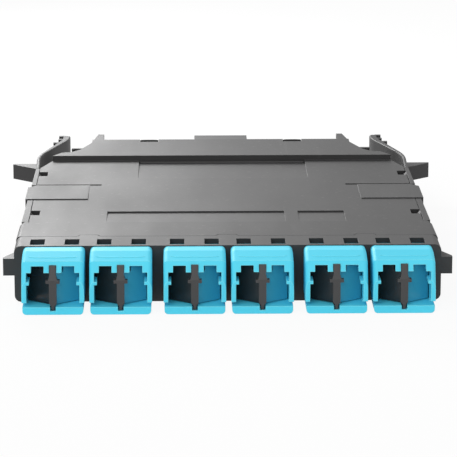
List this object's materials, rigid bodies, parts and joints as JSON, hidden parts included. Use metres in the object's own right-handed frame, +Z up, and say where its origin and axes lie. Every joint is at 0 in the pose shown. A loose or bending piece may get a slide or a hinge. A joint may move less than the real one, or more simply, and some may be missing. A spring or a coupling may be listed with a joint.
{
  "type": "fibre cassette",
  "caption": "Flat moulded fibre cassette: shuttered duplex ports in a row at the front, a multi-fibre port at the back, and a sprung release arm with a locking tooth on each side.",
  "frame": {"origin": "under the middle of the whole cassette, at its underside", "axes": "+Z up out of the cover, +Y from the duplex ports towards the multi-fibre port, +X to the right seen from the front"},
  "size_m": [0.0988, 0.1162, 0.0131],
  "materials": {
    "housing": "fine moulded grain",
    "adapter": "smooth moulded",
    "post": "smooth moulded",
    "dark_shutter": "polished",
    "teal_shutter": "polished",
    "ceramic": "ground zirconia",
    "inner_plug": "smooth moulded",
    "inner_plug_dark": "smooth moulded",
    "fibre": "extruded",
    "rear_adapter": "smooth moulded"
  },
  "bodies": {
    "housing": {"front_frame": "housing", "base_shell": "housing", "top_cover": "housing", "adapter_body_1": "adapter", "shutter_post_1": "post", "sleeve_pair_1": "ceramic", "inner_plug_pair_1": "inner_plug", "fibre_pair_1": "fibre", "adapter_body_2": "adapter", "shutter_post_2": "post", "sleeve_pair_2": "ceramic", "inner_plug_pair_2": "inner_plug", "fibre_pair_2": "fibre", "adapter_body_3": "adapter", "shutter_post_3": "post", "sleeve_pair_3": "ceramic", "inner_plug_pair_3": "inner_plug", "fibre_pair_3": "fibre", "adapter_body_4": "adapter", "shutter_post_4": "post", "sleeve_pair_4": "ceramic", "inner_plug_pair_4": "inner_plug", "fibre_pair_4": "fibre", "adapter_body_5": "adapter", "shutter_post_5": "post", "sleeve_pair_5": "ceramic", "inner_plug_pair_5": "inner_plug", "fibre_pair_5": "fibre", "adapter_body_6": "adapter", "shutter_post_6": "post", "sleeve_pair_6": "ceramic", "inner_plug_pair_6": "inner_plug", "fibre_pair_6": "fibre", "rear_adapter": "rear_adapter", "multi_fibre_plug": "inner_plug_dark", "fanout_block": "rear_adapter", "ribbon_tube": "fibre"},
    "release_arm_left": {"release_arm_left": "housing"},
    "release_arm_right": {"release_arm_right": "housing"},
    "shutter_left_1": {"shutter_left_1": "dark_shutter"},
    "shutter_right_1": {"shutter_right_1": "teal_shutter"},
    "shutter_left_2": {"shutter_left_2": "dark_shutter"},
    "shutter_right_2": {"shutter_right_2": "teal_shutter"},
    "shutter_left_3": {"shutter_left_3": "dark_shutter"},
    "shutter_right_3": {"shutter_right_3": "teal_shutter"},
    "shutter_left_4": {"shutter_left_4": "dark_shutter"},
    "shutter_right_4": {"shutter_right_4": "teal_shutter"},
    "shutter_left_5": {"shutter_left_5": "dark_shutter"},
    "shutter_right_5": {"shutter_right_5": "teal_shutter"},
    "shutter_left_6": {"shutter_left_6": "dark_shutter"},
    "shutter_right_6": {"shutter_right_6": "teal_shutter"}
  },
  "joints": [
    {"name": "press_left", "type": "hinge", "parent": "housing", "child": "release_arm_left", "pos_m": [-0.04265, 0.0228, 0.00666], "axis": [0, 0, -1], "range_deg": [0, 6], "stiffness_Nm_per_rad": 1.3},
    {"name": "press_right", "type": "hinge", "parent": "housing", "child": "release_arm_right", "pos_m": [0.04265, 0.0228, 0.00666], "axis": [0, 0, 1], "range_deg": [0, 6], "stiffness_Nm_per_rad": 1.3},
    {"name": "swing_left_1", "type": "hinge", "parent": "housing", "child": "shutter_left_1", "pos_m": [-0.0363, -0.0559, 0.0056], "axis": [0, 0, -1], "range_deg": [0, 55], "stiffness_Nm_per_rad": 0.0002, "springref_deg": -17.19},
    {"name": "swing_right_1", "type": "hinge", "parent": "housing", "child": "shutter_right_1", "pos_m": [-0.0353, -0.0559, 0.0056], "axis": [0, 0, 1], "range_deg": [0, 55], "stiffness_Nm_per_rad": 0.0002, "springref_deg": -17.19},
    {"name": "swing_left_2", "type": "hinge", "parent": "housing", "child": "shutter_left_2", "pos_m": [-0.0225, -0.0559, 0.0056], "axis": [0, 0, -1], "range_deg": [0, 55], "stiffness_Nm_per_rad": 0.0002, "springref_deg": -17.19},
    {"name": "swing_right_2", "type": "hinge", "parent": "housing", "child": "shutter_right_2", "pos_m": [-0.0215, -0.0559, 0.0056], "axis": [0, 0, 1], "range_deg": [0, 55], "stiffness_Nm_per_rad": 0.0002, "springref_deg": -17.19},
    {"name": "swing_left_3", "type": "hinge", "parent": "housing", "child": "shutter_left_3", "pos_m": [-0.0074, -0.0559, 0.0056], "axis": [0, 0, -1], "range_deg": [0, 55], "stiffness_Nm_per_rad": 0.0002, "springref_deg": -17.19},
    {"name": "swing_right_3", "type": "hinge", "parent": "housing", "child": "shutter_right_3", "pos_m": [-0.0064, -0.0559, 0.0056], "axis": [0, 0, 1], "range_deg": [0, 55], "stiffness_Nm_per_rad": 0.0002, "springref_deg": -17.19},
    {"name": "swing_left_4", "type": "hinge", "parent": "housing", "child": "shutter_left_4", "pos_m": [0.0064, -0.0559, 0.0056], "axis": [0, 0, -1], "range_deg": [0, 55], "stiffness_Nm_per_rad": 0.0002, "springref_deg": -17.19},
    {"name": "swing_right_4", "type": "hinge", "parent": "housing", "child": "shutter_right_4", "pos_m": [0.0074, -0.0559, 0.0056], "axis": [0, 0, 1], "range_deg": [0, 55], "stiffness_Nm_per_rad": 0.0002, "springref_deg": -17.19},
    {"name": "swing_left_5", "type": "hinge", "parent": "housing", "child": "shutter_left_5", "pos_m": [0.0215, -0.0559, 0.0056], "axis": [0, 0, -1], "range_deg": [0, 55], "stiffness_Nm_per_rad": 0.0002, "springref_deg": -17.19},
    {"name": "swing_right_5", "type": "hinge", "parent": "housing", "child": "shutter_right_5", "pos_m": [0.0225, -0.0559, 0.0056], "axis": [0, 0, 1], "range_deg": [0, 55], "stiffness_Nm_per_rad": 0.0002, "springref_deg": -17.19},
    {"name": "swing_left_6", "type": "hinge", "parent": "housing", "child": "shutter_left_6", "pos_m": [0.0353, -0.0559, 0.0056], "axis": [0, 0, -1], "range_deg": [0, 55], "stiffness_Nm_per_rad": 0.0002, "springref_deg": -17.19},
    {"name": "swing_right_6", "type": "hinge", "parent": "housing", "child": "shutter_right_6", "pos_m": [0.0363, -0.0559, 0.0056], "axis": [0, 0, 1], "range_deg": [0, 55], "stiffness_Nm_per_rad": 0.0002, "springref_deg": -17.19}
  ]
}
